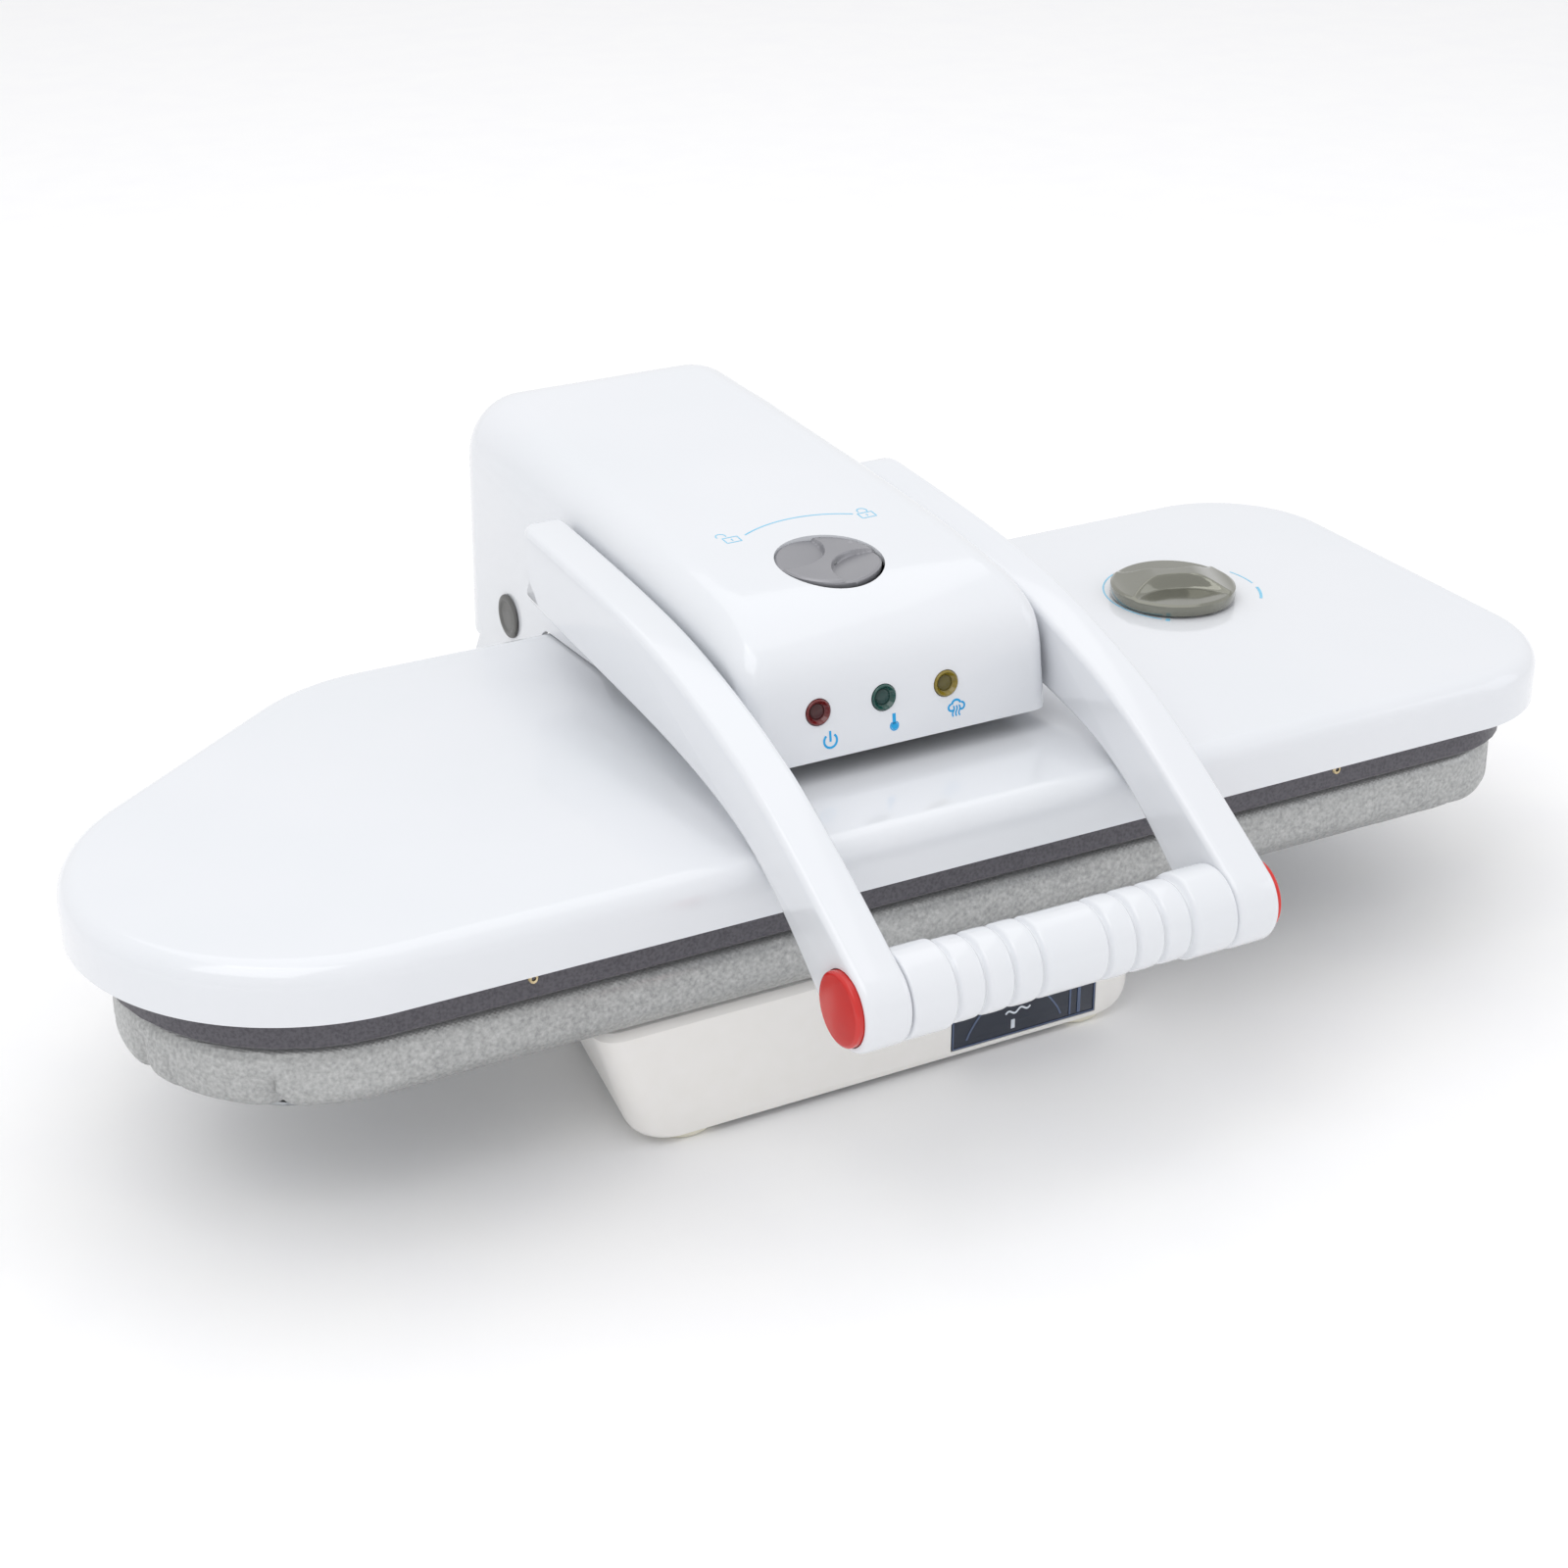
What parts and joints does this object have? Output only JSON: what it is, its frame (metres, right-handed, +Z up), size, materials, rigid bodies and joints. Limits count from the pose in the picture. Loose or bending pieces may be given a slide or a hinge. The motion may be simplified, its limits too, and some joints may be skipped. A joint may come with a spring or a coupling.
{
  "type": "steam ironing press",
  "caption": "Steam ironing press: padded board on a base with a slide-out water tank, and a hinged heated platen pulled down by a U-shaped handle.",
  "frame": {"origin": "centre of the closed press's footprint, on the surface that its feet stand on", "axes": "+X along the board from its round nose to its square end, +Y from the grip to the hinge, +Z up"},
  "size_m": [0.6999, 0.461, 0.228],
  "materials": {
    "white_gloss": "gloss",
    "white_satin": "satin",
    "ivory_rubber": "matt",
    "dark_plate": "dark non-stick coating",
    "silver_cloth": "metallised cotton",
    "steel": "brushed",
    "spring_steel": "bright",
    "brass": "satin",
    "knob_grey": "satin",
    "dial_grey": "gloss",
    "plug_grey": "satin",
    "nylon": "matt",
    "black_plastic": "matt",
    "red_button": "gloss",
    "red_lens": "gloss",
    "green_lens": "gloss",
    "amber_lens": "gloss",
    "smoked_clear": "clear, smoked",
    "silicone": "matt",
    "circuit_board": "matt"
  },
  "bodies": {
    "base": {"base_housing": "white_satin", "base_bottom": "steel", "foot_front_left": "ivory_rubber", "foot_rear_left": "ivory_rubber", "foot_front_right": "ivory_rubber", "foot_rear_right": "ivory_rubber", "hinge_column": "steel", "column_shroud": "white_satin", "hinge_pin_left": "steel", "hinge_pin_right": "steel", "lift_spring": "spring_steel", "tank_bay": "white_satin", "pump": "black_plastic", "pump_bracket": "plug_grey", "feed_hose": "silicone", "steam_hose_lower": "silicone", "control_board": "circuit_board", "cord_gland": "black_plastic", "board_tray": "steel", "board_pad": "silver_cloth"},
    "tank": {"water_tank": "smoked_clear", "tank_lid": "smoked_clear", "tank_valve": "nylon"},
    "head": {"arm_frame": "steel", "hinge_bush_left": "nylon", "hinge_bush_right": "nylon", "beam_pin": "steel", "pressure_beam": "steel", "platen_spindle": "steel", "spindle_nut": "steel", "platen_spring": "spring_steel", "head_cover": "white_gloss", "hinge_plug_left": "plug_grey", "hinge_plug_right": "plug_grey", "lens_red": "red_lens", "lens_green": "green_lens", "lens_amber": "amber_lens", "lamp_holder": "black_plastic", "heating_plate": "dark_plate", "heating_element": "plug_grey", "platen_cover": "white_gloss", "thermostat": "plug_grey", "steam_inlet": "brass", "steam_hose_upper": "silicone", "platen_clip_left": "brass", "platen_clip_right": "brass"},
    "dial": {"temperature_dial": "dial_grey", "dial_spindle": "steel"},
    "lock": {"lock_knob": "knob_grey", "lock_spindle": "steel"},
    "handle": {"handle_arm_left": "white_gloss", "handle_arm_right": "white_gloss", "handle_grip": "white_gloss", "grip_core": "steel", "handle_shaft": "steel", "press_cam": "steel", "steam_switch_left": "black_plastic", "steam_switch_right": "black_plastic"},
    "button_left": {"steam_button_left": "red_button"},
    "button_right": {"steam_button_right": "red_button"}
  },
  "joints": [
    {"name": "head_open", "type": "hinge", "parent": "base", "child": "head", "pos_m": [0.0045, 0.1605, 0.131], "axis": [-1, 0, 0], "range_deg": [0, 45]},
    {"name": "handle_lift", "type": "hinge", "parent": "head", "child": "handle", "pos_m": [0.0045, 0.0585, 0.18582], "axis": [-1, 0, 0], "range_deg": [0, 25]},
    {"name": "lock_knob_turn", "type": "hinge", "parent": "head", "child": "lock", "pos_m": [0, -0.03, 0.21397], "axis": [0, -0.0643, 0.9979], "range_deg": [0, 75]},
    {"name": "dial_turn", "type": "hinge", "parent": "head", "child": "dial", "pos_m": [0.21602, 0.0095, 0.141], "axis": [0, 0, 1], "range_deg": [-135, 135]},
    {"name": "tank_slide", "type": "slide", "parent": "base", "child": "tank", "axis": [0, -1, 0], "range_m": [0, 0.12]},
    {"name": "steam_button_left_press", "type": "slide", "parent": "handle", "child": "button_left", "axis": [1, 0, 0], "range_m": [0, 0.003], "stiffness_N_per_m": 500, "springref_m": -0.001},
    {"name": "steam_button_right_press", "type": "slide", "parent": "handle", "child": "button_right", "axis": [-1, 0, 0], "range_m": [0, 0.003], "stiffness_N_per_m": 500, "springref_m": -0.001}
  ]
}
